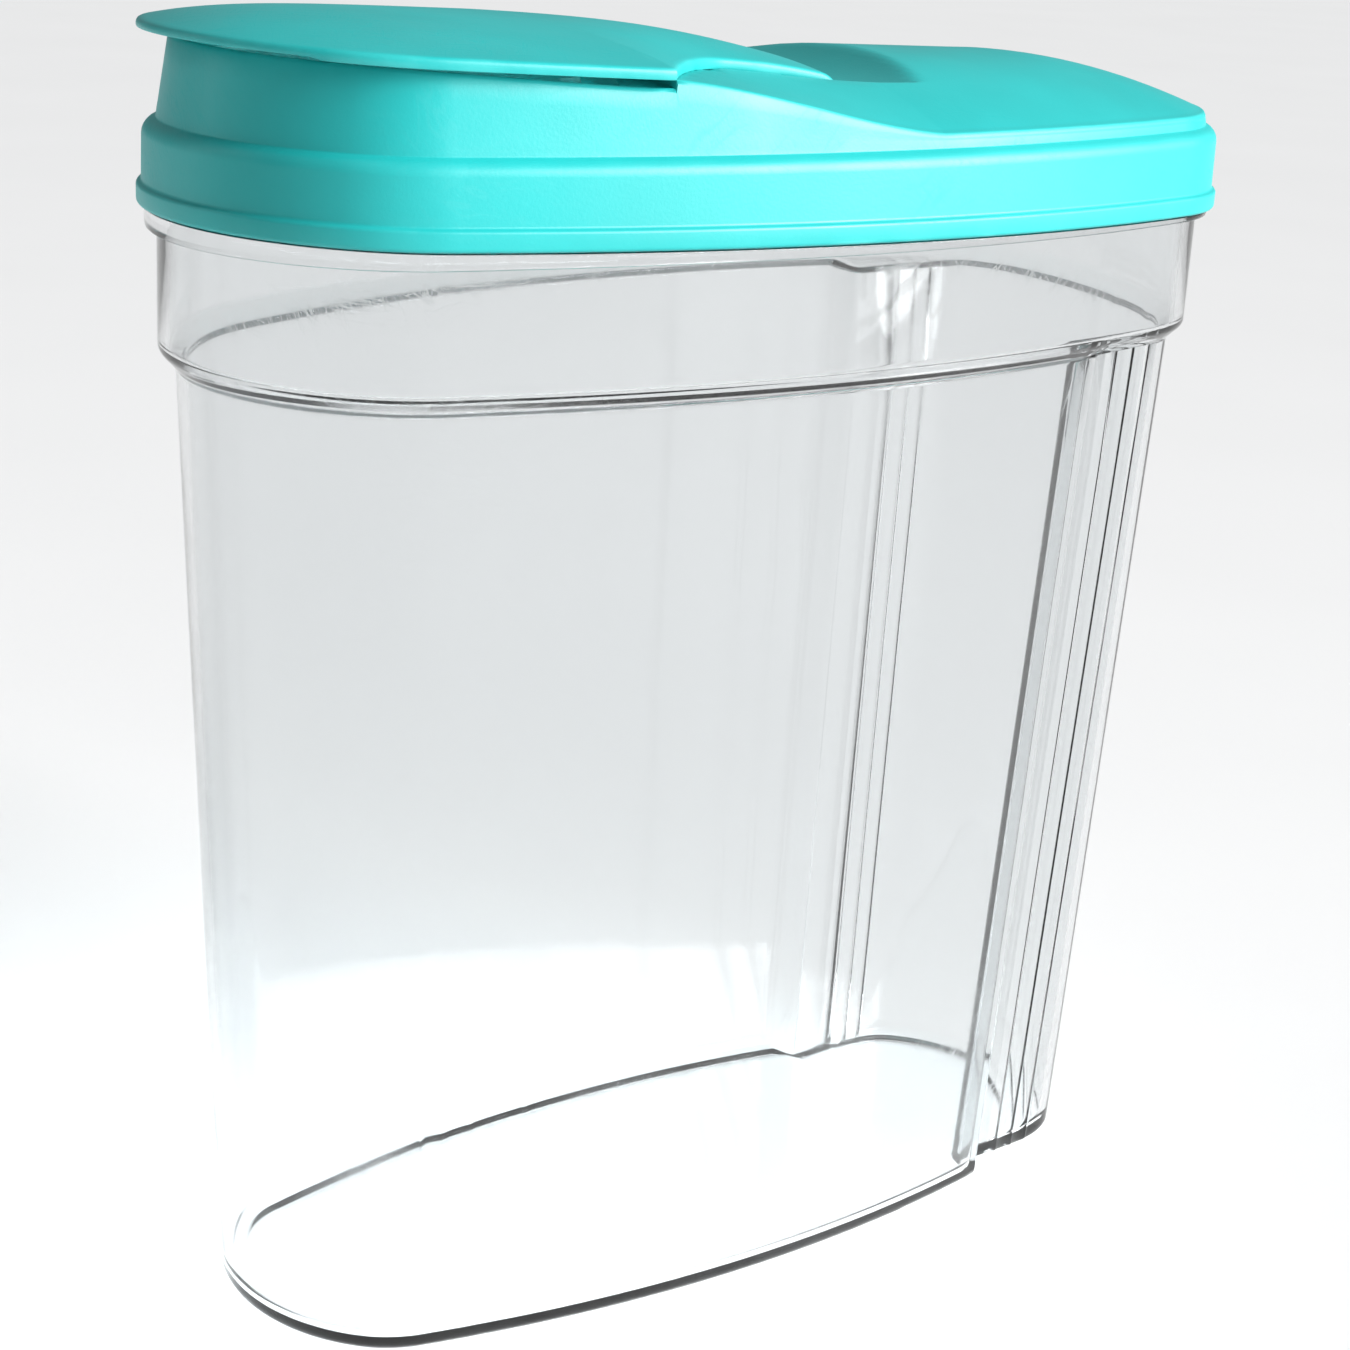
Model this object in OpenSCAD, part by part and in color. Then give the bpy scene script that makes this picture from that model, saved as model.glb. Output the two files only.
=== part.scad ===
// Flip-top food canister: a clear tapered body, a press-on lid and a hinged pour flap.
// Millimetres, +Z up. The pour end is at -X, the grip end at +X, and the base stands on z = 0.
// Every wall follows one plan outline, drawn in by an inset, so the pieces nest.

/* [Plan outline] */
// Half the length of the lid's bead, the widest outline
half_l = 131.6; // [130.5:0.1:133]
// Half the width of the lid's bead
half_w = 61.5; // [60.5:0.1:62.5]
// Radius of the bowed long sides
side_r = 400; // [390:5:420]
// Radius of the bowed ends
end_r = 55; // [54:0.5:57]
// Radius of the four corners
corner_r = 41; // [39:0.5:42]

/* [Canister] */
// Thickness of the clear wall
wall = 2; // [1.8:0.1:2.2]
// Height of the rim, inside the lid
rim_z = 253.5; // [253:0.1:253.8]
// Height of the top of the ledge below the collar
ledge_z = 212.5; // [211:0.5:214]
// How far the collar stands in from the bead
collar_in = 3.9; // [3.7:0.1:4.1]
// How far the top of the body stands in from the bead
body_in = 7.5; // [7:0.1:8.5]
// How far the base stands in from the bead
base_in = 13.2; // [12:0.1:14]
// How much shorter the base is than that inset alone would make it, as a share of its length
end_draft = 0.032; // [0:0.001:0.04]
// Half the width between the two flat grip faces, at the base
grip_half_base = 33.7; // [33:0.1:36]
// Half the width between the two flat grip faces, at the ledge
grip_half_top = 38.5; // [37.5:0.1:40]
// Distance of the grip faces' front edge from the middle, at the base
grip_x_base = 65.8; // [63:0.1:68]
// Distance of the grip faces' front edge from the middle, at the ledge
grip_x_top = 73.5; // [71:0.5:75]

/* [Lid] */
// Height of the bead's lower edge
bead_z = 240; // [239.9:0.1:240.3]
// Height of the bead
bead_h = 4; // [3.6:0.1:4.6]
// Height of the groove between the skirt and the upper wall
groove_z = 257.4; // [257:0.1:257.8]
// Thickness of the lid's skin
skin = 2.2; // [2:0.1:2.4]
// Height of the deck's edge at the grip end
deck_low_z = 260.6; // [260.2:0.1:261.2]
// Height of the deck's edge where it meets the flap
deck_high_z = 271.2; // [270.8:0.1:271.3]
// Height of the deck's middle at the hinge
crown_z = 272.9; // [272.4:0.1:273]
// Half the width of the recess that takes the tongue
recess_w = 33.6; // [33.5:0.1:34]

/* [Flap] */
// Thickness of the flap
flap_t = 2.2; // [2:0.1:2.3]
// Height of the flap's upper edge at the pour end
tip_z = 276.4; // [276.2:0.1:276.8]
// Height of the flap's upper edge at the notch
notch_z = 273.8; // [273.7:0.1:274.1]
// Rise of the flap's middle above its edges
flap_crown = 5; // [4:0.1:5.5]
// Place of the notch, where the flap narrows to its tongue
notch_x = -53; // [-54:0.5:-52]
// Place of the hinge axis
hinge_x = -1; // [-2:0.5:0]
// Height of the hinge axis
hinge_z = 263.2; // [263:0.1:263.4]
// Radius of the tongue's rolled end at its middle
roll_r = 9.6; // [9.4:0.1:9.7]
// Radius of the tongue's rolled end at its sides
roll_side_r = 7; // [6.8:0.1:7.2]
// Half the width of the rolled end
roll_w = 33; // [32.5:0.1:33]
// Diameter of the hinge pins
pin_d = 4.4; // [4:0.1:4.6]
// Radial play of the pins in their sockets
pin_play = 0.05; // [0.03:0.01:0.08]

/* [Hidden] */
$fn = 72;
clear_colour = [0.86, 0.90, 0.91, 0.45];
teal = [0.16, 0.72, 0.68];

step_l = 3;            // length over which the grip recess steps in
face_blend = 3;        // how softly a grip face runs into the corner
side_steps = 5;        // points on a long side as far as the recess
corner_steps = 6;      // points round a corner, and again round half an end
body_top = ledge_z - 5;
flange_pour_h = 5;     // height of the flange under the bead at the pour end
flange_grip_h = 1.6;   // the same at the grip end
spine_x = 72;          // half length of the line that the deck rises to
deck_mid_z = (deck_low_z + deck_high_z) / 2 + 0.7;  // height at which the upper wall's inset is taken
deck_rings = [0.1, 0.22, 0.36, 0.5, 0.64, 0.76, 0.86, 0.94, 0.985];
plug_in = collar_in + wall + 0.4;  // inset of the lid's plug ring, inside the canister's neck
open_in = 9.6;         // inset of the pour opening
open_x = -60;          // rear edge of the pour opening
ramp_r = 44;           // radius of the scoop behind the rolled end
ramp_x = hinge_x + 12;  // place of the scoop's lowest line
ramp_z = 265.5;        // height of the scoop's lowest line
dip_gap = 1;           // room under the tongue
dip_l = 4;             // how far the dip under the tongue runs out beside it
dip_end = hinge_x + 5; // end of the dip, over the pocket
pocket_gap = 0.7;      // radial room round the rolled end
pocket_backs = [0, 2.4];  // the pocket runs back from the hinge axis, for the tongue's root when the flap stands up
tray_t = 1.7;          // thickness of the tray round the pocket
tray_end = hinge_x + 38;  // rear end of the tray under the recess
tray_h = 20;           // height of the tray's blocks, which the deck trims
boss_x = 10;           // length of the block round each pin socket
boss_y = 5;            // width of the block round each pin socket
pin_reach = 37.2;      // end of each hinge pin, from the middle
neck_l = 28;           // length over which the flap narrows to its tongue
flap_in = 3;           // how far the flap's long edges stand in from the bead
across_steps = 10;     // steps across the flap

// ---------- plan outline ----------
// A long side, a corner and an end are arcs that meet tangentially: the corner circle lies inside both others.
side_c = [0, half_w - side_r];
end_c = [half_l - end_r, 0];
centre_gap = norm(end_c - side_c);
centre_dir = (end_c - side_c) / centre_gap;
along = (centre_gap ^ 2 + (side_r - corner_r) ^ 2 - (end_r - corner_r) ^ 2) / (2 * centre_gap);
aside = sqrt((side_r - corner_r) ^ 2 - along ^ 2);
corner_c = side_c + centre_dir * along + [centre_dir[1], -centre_dir[0]] * aside;
corner_from = atan2(corner_c[1] - side_c[1], corner_c[0]);
corner_to = atan2(corner_c[1], corner_c[0] - end_c[0]);

function mix(a, b, s) = a + (b - a) * s;
function clamp01(s) = max(0, min(1, s));
function ease(s) = let (c = clamp01(s)) c * c * (3 - 2 * c);
function arc_point(c, r, a) = c + r * [cos(a), sin(a)];
function side_y(x, i) = side_c[1] + sqrt((side_r - i) ^ 2 - x ^ 2);
function side_end(i) = (side_r - i) * cos(corner_from);
function soft_min(a, b) = min(a, b) - max(0, face_blend - abs(a - b)) ^ 2 / (4 * face_blend);

// A quarter of the outline drawn in by i, from the middle of a long side to the end.
// Beyond grip_x it is cut off flat at the half width face.
function quarter(i, face = half_w, grip_x = grip_x_top) = let (
    xs = concat(
        [for (k = [0:side_steps]) grip_x * k / side_steps],
        [for (k = [1:4]) grip_x + step_l * k / 4],
        [for (k = [1:2]) mix(grip_x + step_l, side_end(i), k / 2)]),
    pts = concat(
        [for (x = xs) [x, side_y(x, i)]],
        [for (k = [1:corner_steps])
            arc_point(corner_c, corner_r - i, mix(corner_from, corner_to, k / corner_steps))],
        [for (k = [1:corner_steps])
            arc_point(end_c, end_r - i, corner_to * (1 - k / (corner_steps + 0.5)))]))
    [for (p = pts) [p[0], mix(p[1], soft_min(p[1], face), ease((p[0] - grip_x) / step_l))]];

// The whole outline as a ring, from the pour end over +Y to the grip end and back over -Y.
function ring(i, face = half_w, grip_x = grip_x_top) = let (
    pour_side = quarter(i, half_w, grip_x),
    half = concat(
        [for (k = [len(pour_side) - 1:-1:1]) [-pour_side[k][0], pour_side[k][1]]],
        quarter(i, face, grip_x)))
    concat(half, [for (k = [len(half) - 1:-1:0]) [half[k][0], -half[k][1]]]);

function at_height(pts, z) = [for (p = pts) [p[0], p[1], z]];

// A closed solid through rings of points, each a mirror image of itself.
// The first and last ring are closed by strips from each point to its mirror image.
module loft(rings) {
    n = len(rings[0]);
    top = (len(rings) - 1) * n;
    walls = [for (r = [0:len(rings) - 2], i = [0:n - 1])
        let (a = r * n + i, b = r * n + (i + 1) % n) each [[a, b, b + n], [a, b + n, a + n]]];
    caps = [for (i = [0:n / 2 - 2])
        let (a = i, b = i + 1, c = n - 2 - i, d = n - 1 - i)
        each [[c, b, a], [d, c, a], [top + a, top + b, top + c], [top + a, top + c, top + d]]];
    polyhedron(points = [for (r = rings) each r], faces = concat(walls, caps), convexity = 8);
}

// ---------- canister ----------
function share_up(z) = clamp01(z / body_top);
function body_inset(z) = mix(base_in, body_in, share_up(z));

// A level of the body, with or without the grip faces, drawn in further by inward for the inner surface.
function shell_ring(i, z, grip = false, inward = 0) = let (
    length_scale = 1 - end_draft * (1 - share_up(z)),
    face = grip ? mix(grip_half_base, grip_half_top, share_up(z)) - inward : half_w,
    front_edge = mix(grip_x_base, grip_x_top, share_up(z)) / length_scale - inward)
    [for (p = ring(i + inward, face, front_edge)) [p[0] * length_scale, p[1], z]];

// A level of the flange under the bead, up above its lower edge, which falls towards the pour end.
function flange_ring(i, up) = [for (p = ring(i)) let (s = sqrt(max(0, (p[0] + half_l) / (2 * half_l))))
    [p[0], p[1], bead_z - mix(flange_pour_h, flange_grip_h, s) + up]];

module canister() {
    levels = [3.2, 50, 110, 165, body_top];
    outer = [
        shell_ring(base_in + 3, 0, true),
        shell_ring(base_in + 1.2, 0.5, true),
        shell_ring(base_in + 0.3, 1.6, true),
        for (z = levels) shell_ring(body_inset(z), z, true),
        shell_ring(body_in - 0.4, body_top + 1.3),
        shell_ring(body_in - 1.5, body_top + 2.5),
        shell_ring(collar_in + 0.6, body_top + 3.6),
        shell_ring(collar_in, ledge_z),
        flange_ring(collar_in, 0),
        flange_ring(collar_in - 2.1, 0.5),
        flange_ring(collar_in - 2.4, 0.8),
        shell_ring(collar_in - 2.4, bead_z - 0.7),
        shell_ring(collar_in - 2, bead_z - 0.5),
        shell_ring(collar_in, bead_z - 0.4),
        shell_ring(collar_in, rim_z - 0.8),
        shell_ring(collar_in + 0.5, rim_z)];
    inner = [
        shell_ring(collar_in - 0.5, rim_z, false, wall),
        shell_ring(collar_in, rim_z - 0.8, false, wall),
        shell_ring(collar_in, ledge_z + 0.8, false, wall),
        shell_ring(collar_in + 0.8, ledge_z - 0.3, false, wall),
        shell_ring(body_in - 1.2, ledge_z - 1.1, false, wall),
        shell_ring(body_in - 0.1, body_top + 3.1, false, wall),
        shell_ring(body_in, body_top + 1.8, true, wall),
        for (k = [3:-1:1]) shell_ring(body_inset(levels[k]), levels[k], true, wall),
        shell_ring(base_in, 6, true, wall),
        shell_ring(base_in + 0.8, 3.6, true, wall),
        shell_ring(base_in + 3, wall + 0.4, true, wall)];
    color(clear_colour) loft(concat(outer, inner));
}

// ---------- shared heights of lid and flap ----------
// Height of the flap's upper edge, level along the notch and lower beside the rolled end.
function tongue_at(x) = clamp01((x - notch_x) / (hinge_x - notch_x));
function flap_edge_z(x) = x < notch_x
    ? mix(tip_z, notch_z, clamp01((x + half_l) / (notch_x + half_l)))
    : mix(notch_z, hinge_z + roll_side_r, tongue_at(x) ^ 2.6);
function crown_at(x) = x < notch_x
    ? flap_crown * (1 - ((notch_x - x) / (half_l + notch_x)) ^ 5)
    : mix(flap_crown, roll_r - roll_side_r, tongue_at(x) ^ 0.7);
function flap_half(x) = mix(roll_w, side_y(notch_x, flap_in), (1 - clamp01((x - notch_x) / neck_l)) ^ 1.6);
function flap_z(x, y, w) = flap_edge_z(x) + crown_at(x) * (1 - (y / w) ^ 2);

// ---------- lid ----------
// The upper wall's top edge: just under the flap at the front, then falling beside the tongue.
function deck_edge_z(x) = let (s = (x - notch_x - 3) / 64)
    x < notch_x ? flap_edge_z(x) - flap_t - 0.4 : mix(deck_high_z, deck_low_z, (clamp01(s) + ease(s)) / 2);
function spine_z(x) = crown_z - 0.026 * (x - hinge_x);
function wall_inset(z) = collar_in + 0.155 * (z - groove_z);

// A point of the deck, t of the way from the spine out to the edge point p, and drop below its surface.
// Under the tongue the deck dips to stay clear of it.
function deck_point(p, t, drop) = let (
    sx = max(-spine_x, min(spine_x, p[0])),
    x = mix(sx, p[0], t),
    y = p[1] * t,
    dome = mix(spine_z(sx), deck_edge_z(p[0]), t * t),
    half = flap_half(x),
    beside = max(0, abs(y) - half - dip_l),
    limit = x > notch_x && x < dip_end
        ? flap_z(x, min(abs(y), half), half) - flap_t - dip_gap + beside
        : dome)
    [x, y, min(dome, limit) - drop];

module lid_shell() {
    edge = ring(wall_inset(deck_mid_z));
    inner_edge = ring(wall_inset(deck_mid_z) + skin);
    under = [
        for (t = deck_rings) [for (p = inner_edge) deck_point(p, t, skin)],
        [for (p = inner_edge) [p[0], p[1], deck_edge_z(p[0]) - skin - 0.8]],
        at_height(ring(collar_in + skin + 0.3), groove_z + 2.5),
        at_height(ring(plug_in + 1.8), groove_z - 0.5),
        at_height(ring(plug_in + 1.6), bead_z + 4),
        at_height(ring(plug_in + 0.2), bead_z + 4),
        at_height(ring(plug_in), rim_z),
        at_height(ring(3.1), rim_z),
        at_height(ring(3), bead_z)];
    outside = [
        at_height(ring(0.5), bead_z),
        at_height(ring(0), bead_z + 1),
        at_height(ring(0), bead_z + bead_h - 1.2),
        at_height(ring(0.2), bead_z + bead_h - 0.4),
        at_height(ring(0.8), bead_z + bead_h + 0.3),
        at_height(ring(1), groove_z - 4.5),
        at_height(ring(1.5), groove_z - 2.2),
        at_height(ring(2.6), groove_z - 0.6),
        at_height(ring(collar_in - 0.2), groove_z),
        at_height(ring(collar_in + 0.1), groove_z + 1),
        [for (p = edge) [p[0], p[1], deck_edge_z(p[0]) - 0.7]],
        for (k = [len(deck_rings) - 1:-1:0]) [for (p = edge) deck_point(p, deck_rings[k], 0)]];
    loft(concat(under, outside));
}

// Everything below the middle of the deck's skin, which trims what hangs beneath the deck.
module under_deck() {
    edge = ring(wall_inset(deck_mid_z) + skin);
    loft(concat(
        [at_height(edge, bead_z + 5)],
        [for (k = [len(deck_rings) - 1:-1:0]) [for (p = edge) deck_point(p, deck_rings[k], skin / 2)]]));
}

module across(r, x, z, from, to) {
    translate([x, from, z]) rotate([-90, 0, 0]) cylinder(r = r, h = to - from);
}

// The pocket for the rolled end and the scoop behind it.
module recess() {
    for (back = pocket_backs)
        across(roll_r + pocket_gap, hinge_x + back, hinge_z + back / 4, -recess_w, recess_w);
    across(ramp_r, ramp_x, ramp_z + ramp_r, -recess_w, recess_w);
}

module tray() {
    half = recess_w + skin;
    outer_r = roll_r + pocket_gap + tray_t;
    intersection() {
        under_deck();
        union() {
            for (back = pocket_backs) across(outer_r, hinge_x + back, hinge_z + back / 4, -half, half);
            translate([hinge_x, -half, ramp_z - skin - tray_t])
                cube([tray_end - hinge_x, 2 * half, tray_h]);
            for (y = [-recess_w - boss_y, recess_w])
                translate([hinge_x - boss_x / 2, y, hinge_z - boss_x / 2]) cube([boss_x, boss_y, tray_h]);
        }
    }
}

module lid() {
    color(teal) difference() {
        union() {
            lid_shell();
            tray();
        }
        recess();
        for (s = [-1, 1]) across(pin_d / 2 + pin_play, hinge_x, hinge_z,
            s > 0 ? recess_w - 1 : -pin_reach - 0.5, s > 0 ? pin_reach + 0.5 : 1 - recess_w);
        translate([0, 0, groove_z]) linear_extrude(40) intersection() {
            polygon(ring(open_in));
            translate([-half_l, -half_w]) square([half_l + open_x, 2 * half_w]);
        }
    }
}

// ---------- flap ----------
// A cross-section of the plate at x: the upper surface from -Y to +Y, then the lower one back.
function flap_ring(x, w) = let (ys = [for (j = [0:across_steps]) w * (2 * j / across_steps - 1)]) concat(
    [for (y = ys) [x, y, flap_z(x, y, w)]],
    [for (j = [across_steps:-1:0]) [x, ys[j], flap_z(x, ys[j], w) - flap_t]]);

// A cross-section of the rolled end at angle a about the hinge axis.
function roll_ring(a) = let (
    ys = [for (j = [0:across_steps]) roll_w * (2 * j / across_steps - 1)],
    rs = [for (y = ys) mix(roll_r, roll_side_r, (y / roll_w) ^ 2)]) concat(
    [for (j = [0:across_steps]) [hinge_x + rs[j] * cos(a), ys[j], hinge_z + rs[j] * sin(a)]],
    [for (j = [across_steps:-1:0])
        [hinge_x + (rs[j] - flap_t) * cos(a), ys[j], hinge_z + (rs[j] - flap_t) * sin(a)]]);

module flap() {
    outline = quarter(flap_in);
    stretch = half_l / outline[len(outline) - 1][0];
    front = [for (k = [len(outline) - 1:-1:1]) if (-outline[k][0] * stretch < notch_x - 1)
        flap_ring(-outline[k][0] * stretch, outline[k][1])];
    narrowing = [for (s = [0, 0.08, 0.18, 0.3, 0.44, 0.6, 0.8, 1])
        flap_ring(notch_x + neck_l * s, flap_half(notch_x + neck_l * s))];
    tongue = [for (x = [-18, -12, -7, -3]) flap_ring(hinge_x + x, roll_w)];
    color(teal) union() {
        loft(concat(front, narrowing, tongue, [for (a = [96:-11:-25]) roll_ring(a)]));
        for (s = [-1, 1]) {
            across(roll_side_r - 0.9, hinge_x, hinge_z, s > 0 ? roll_w - 2 : -roll_w, s > 0 ? roll_w : 2 - roll_w);
            across(pin_d / 2, hinge_x, hinge_z, s > 0 ? roll_w - 1 : -pin_reach, s > 0 ? pin_reach : 1 - roll_w);
        }
    }
}

canister();
lid();
flap();
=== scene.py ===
"""Looks for the flip-top canister: clear body, press-on lid and hinged pour flap.

Every wall follows one plan outline of tangent arcs, drawn in by an inset, as in the frame.
Shapes are worked out in millimetres and turned into metres when a mesh is made.
The object is the same on both sides of y = 0, so each mesh is a half, mirrored.
"""

import math

import bmesh
import bpy
import numpy as np
from mathutils import Matrix, Vector


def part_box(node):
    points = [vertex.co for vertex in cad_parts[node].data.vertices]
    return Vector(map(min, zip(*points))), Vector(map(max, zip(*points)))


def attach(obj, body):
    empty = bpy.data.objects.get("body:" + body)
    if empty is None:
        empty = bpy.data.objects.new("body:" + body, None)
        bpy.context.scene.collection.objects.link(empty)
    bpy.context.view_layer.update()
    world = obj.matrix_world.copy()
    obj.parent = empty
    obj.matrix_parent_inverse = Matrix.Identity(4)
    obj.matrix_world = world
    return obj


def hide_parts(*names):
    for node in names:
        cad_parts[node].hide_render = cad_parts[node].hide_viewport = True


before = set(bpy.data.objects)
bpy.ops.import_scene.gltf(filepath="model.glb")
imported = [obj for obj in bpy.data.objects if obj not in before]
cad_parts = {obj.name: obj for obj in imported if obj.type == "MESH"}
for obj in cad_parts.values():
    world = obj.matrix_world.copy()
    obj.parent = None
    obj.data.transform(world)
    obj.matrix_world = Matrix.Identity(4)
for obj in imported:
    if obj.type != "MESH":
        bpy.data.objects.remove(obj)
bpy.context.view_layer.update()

MM = 0.001
LID_LOW, LID_HIGH = (np.array(corner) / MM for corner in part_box("lid"))
BODY_HIGH = np.array(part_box("canister")[1]) / MM
FLAP_LOW = np.array(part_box("flap")[0]) / MM

# Plan outline
HALF_L = LID_HIGH[0]
HALF_W = LID_HIGH[1]
SIDE_R = 400
END_R = 55
CORNER_R = 41
REACH_STEPS = 4
CORNER_STEPS = 18
END_STEPS = 18

# Canister
WALL = 2.0
FLOOR = 2.4
PUSH_UP = 0.8
RIM_Z = BODY_HIGH[2]
BEAD_Z = LID_LOW[2]
BODY_TOP = 207.5
LEDGE_Z = 212.5
COLLAR_IN = 3.9
BODY_IN = 7.5
BASE_IN = 13.2
END_DRAFT = 0.032
GRIP_HALF_BASE = 33.7
GRIP_HALF_TOP = 38.5
GRIP_X_BASE = 65.8
GRIP_X_TOP = 73.5
GRIP_STEP = 3.0
FACE_BLEND = 3.0
RIB_X = (12.5, 18.0, 23.0)
RIB_W = 0.55
RIB_H = 0.35
FLANGE_L = 2.4
# How far out and how far up each step of the flange's lower edge lies
FLANGE_STEPS = ((0, 0), (FLANGE_L - 0.5, 0.15), (FLANGE_L - 0.12, 0.35), (FLANGE_L, 0.75))
FLANGE_POUR_H = 5.0
FLANGE_GRIP_H = 1.6
BEAD_FALL_POUR, BEAD_FALL_GRIP = 0.8, -1.3
BLEND_H = 1.2

# Lid
BEAD_H = 4.0
GROOVE_Z = 257.4
SKIN = 2.2
WALL_LEAN = 0.155
DECK_LOW_Z = 260.6
DECK_HIGH_Z = 271.2
DECK_FALL_L = 64
CROWN_Z = 272.9
SPINE_SLOPE = 0.026
SPINE_X = 72.0
OPEN_IN = 9.6
OPEN_X = -60.0
RECESS_W = 33.6
SCOOP_R = 44.0
SCOOP_FROM_HINGE = 12.0
SCOOP_Z = 265.5
TONGUE_GAP = 0.25
TONGUE_BANK = 3
STEP_X = -51.1
STEP_W = 0.4
SEAM_START, SEAM_L = -105, 52
SEAM_NARROW, SEAM_WIDE = 0.4, 1.7
# Share of the way from the wall to the pour opening, and how far the deck is lowered there
CHANNEL = ((0, 0), (0.3, 2.4), (0.65, 2.4), (1, 1.6))

# Flap
HINGE_X, HINGE_Z = -1.0, 263.2
NOTCH_X = -53.0
NECK_L = 28.0
FLAP_T = 2.2
FLAP_IN = 3.0
TIP_Z = 276.4
NOTCH_Z = 273.8
FLAP_CROWN = 4.97
LIP_END_X = -119.5
LIP_STEP_L = 3
LIP_THINNER = 0.6
ROLL_R = 9.6
ROLL_SIDE_R = 7.0
ROLL_W = 33.0
ROLL_FROM, ROLL_TO = 80.0, -25.0
POCKET_R = ROLL_R + 0.7
POCKET_BACKS = (0, 2.4)
PIN_R = 2.2
PIN_REACH = 37.2


# ---------- plan outline ----------
SIDE_C = np.array([0, HALF_W - SIDE_R])
END_C = np.array([HALF_L - END_R, 0])


def corner_centre():
    """The corner circle lies inside the side circle and the end circle, and touches both."""
    gap = END_C - SIDE_C
    length = np.linalg.norm(gap)
    gap /= length
    along = (length**2 + (SIDE_R - CORNER_R) ** 2 - (END_R - CORNER_R) ** 2) / (2 * length)
    aside = math.sqrt((SIDE_R - CORNER_R) ** 2 - along**2)
    return SIDE_C + gap * along + np.array([gap[1], -gap[0]]) * aside


CORNER_C = corner_centre()
CORNER_FROM = math.atan2(*(CORNER_C - SIDE_C)[::-1])
CORNER_TO = math.atan2(*(CORNER_C - END_C)[::-1])


def mix(a, b, s):
    return a + (b - a) * s


def clamp01(s):
    return np.clip(s, 0, 1)


def ease(s):
    s = clamp01(s)
    return s * s * (3 - 2 * s)


def side_y(x, inset):
    return SIDE_C[1] + np.sqrt((SIDE_R - inset) ** 2 - np.square(x))


def side_end(inset):
    return (SIDE_R - inset) * math.cos(CORNER_FROM)


def corner_y(x, inset):
    return CORNER_C[1] + np.sqrt(np.maximum(0, (CORNER_R - inset) ** 2 - np.square(x - CORNER_C[0])))


def arc(centre, radius, angles):
    return np.column_stack([centre[0] + radius * np.cos(angles), centre[1] + radius * np.sin(angles)])


def quarter(inset, line_x):
    """The outline from the middle of a long side to the middle of an end, with points at line_x.

    The inset is one number, or one for each point. The lines may run on round the corner.
    """
    line_n = len(line_x)
    side_n = line_n + REACH_STEPS
    corner_n = side_n + CORNER_STEPS
    inset = np.broadcast_to(np.asarray(inset, float), corner_n + END_STEPS)
    at_line, beyond = inset[:line_n], inset[line_n:corner_n]
    line_y = np.where(line_x < side_end(at_line), side_y(line_x, at_line), corner_y(line_x, at_line))
    if line_x[-1] < side_end(at_line[-1]):
        reach = np.arange(1, REACH_STEPS + 1) / REACH_STEPS
        xs = mix(line_x[-1], side_end(beyond[:REACH_STEPS]), reach)
        side = np.column_stack([xs, side_y(xs, beyond[:REACH_STEPS])])
        corner_a = np.linspace(CORNER_FROM, CORNER_TO, CORNER_STEPS + 1)[1:]
        corner = np.vstack([side, arc(CORNER_C, CORNER_R - inset[side_n:corner_n], corner_a)])
    else:
        start = math.acos((line_x[-1] - CORNER_C[0]) / (CORNER_R - at_line[-1]))
        corner_a = np.linspace(start, CORNER_TO, corner_n - line_n + 1)[1:]
        corner = arc(CORNER_C, CORNER_R - beyond, corner_a)
    end = arc(END_C, END_R - inset[corner_n:], np.linspace(CORNER_TO, 0, END_STEPS + 1)[1:])
    return np.vstack([np.column_stack([line_x, line_y]), corner, end])


def half_ring(inset, line_x):
    """The half of the outline at +Y, from the middle of the pour end to the middle of the grip end."""
    if np.ndim(inset) == 0:
        pour_inset = grip_inset = inset
    else:
        middle = len(inset) // 2
        pour_inset, grip_inset = inset[middle::-1], inset[middle:]
    pour = quarter(pour_inset, line_x)[::-1] * [-1, 1]
    return np.vstack([pour[:-1], quarter(grip_inset, line_x)])


def at_height(ring, z):
    return np.column_stack([ring, np.broadcast_to(z, len(ring))])


MIN_TURN = math.radians(1)
SHARP_ANGLE = math.radians(38)


def rounded(corners, steps=5):
    """A path of (inset, z) through corners of (inset, z, radius), each turned into an arc."""
    path = [np.array(corners[0][:2], float)]
    for before, (x, z, radius), after in zip(corners, corners[1:-1], corners[2:]):
        here = np.array([x, z], float)
        back = np.array(before[:2]) - here
        ahead = np.array(after[:2]) - here
        back /= np.linalg.norm(back)
        ahead /= np.linalg.norm(ahead)
        half_turn = math.acos(np.clip(back @ ahead, -1, 1)) / 2
        if math.pi - 2 * half_turn < MIN_TURN:
            path.append(here)
            continue
        centre = here + (back + ahead) / np.linalg.norm(back + ahead) * radius / math.sin(half_turn)
        start = here + back * radius / math.tan(half_turn) - centre
        end = here + ahead * radius / math.tan(half_turn) - centre
        sweep = math.pi - 2 * half_turn
        for s in np.linspace(0, 1, steps + 1):
            out = start * math.sin(sweep * (1 - s)) + end * math.sin(sweep * s)
            path.append(centre + out / math.sin(sweep))
    path.append(np.array(corners[-1][:2], float))
    return path


# ---------- meshes ----------
def grid_faces(rows, columns):
    """Quads between neighbouring rows of points, one entry for each cell."""
    r, c = np.meshgrid(np.arange(rows - 1), np.arange(columns - 1), indexing="ij")
    a = r * columns + c
    return np.stack([a, a + 1, a + columns + 1, a + columns], axis=-1)


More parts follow.
